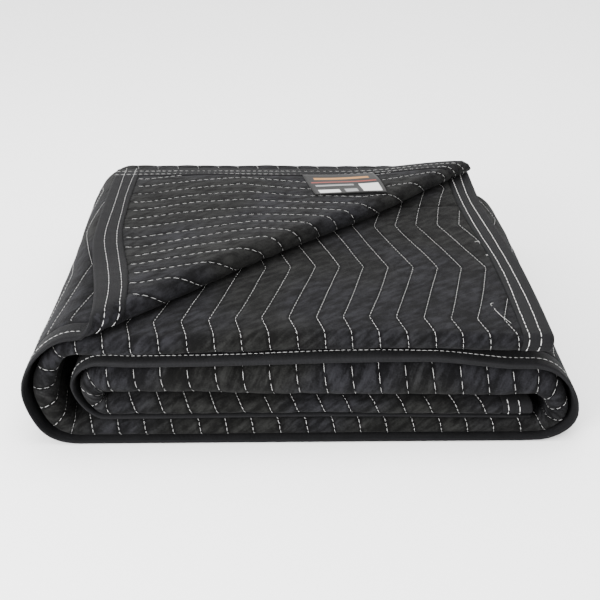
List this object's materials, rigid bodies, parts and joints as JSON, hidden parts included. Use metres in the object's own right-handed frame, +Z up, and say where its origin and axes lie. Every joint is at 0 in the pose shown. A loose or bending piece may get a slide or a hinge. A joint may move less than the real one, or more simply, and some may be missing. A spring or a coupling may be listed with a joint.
{
  "type": "folded quilted moving pad",
  "caption": "Quilted moving pad with bound edges, folded and rolled into a soft flat stack with one corner turned back, for wrapping furniture in transit",
  "frame": {"origin": "centre of the footprint, on the surface the folded pad rests on", "axes": "X along the front of the stack to the right, Y from the front to the back crease, Z up"},
  "size_m": [0.525, 0.4768, 0.1359],
  "materials": {
    "quilted_cloth": "matte non-woven felt",
    "binding_cloth": "matte plain weave tape",
    "label_cloth": "matte woven label"
  },
  "bodies": {
    "root": {"quilted_pad": "quilted_cloth", "front_edge_binding": "binding_cloth", "inner_edge_binding": "binding_cloth", "top_end_binding": "binding_cloth", "inner_end_binding": "binding_cloth", "label": "label_cloth"}
  },
  "joints": []
}
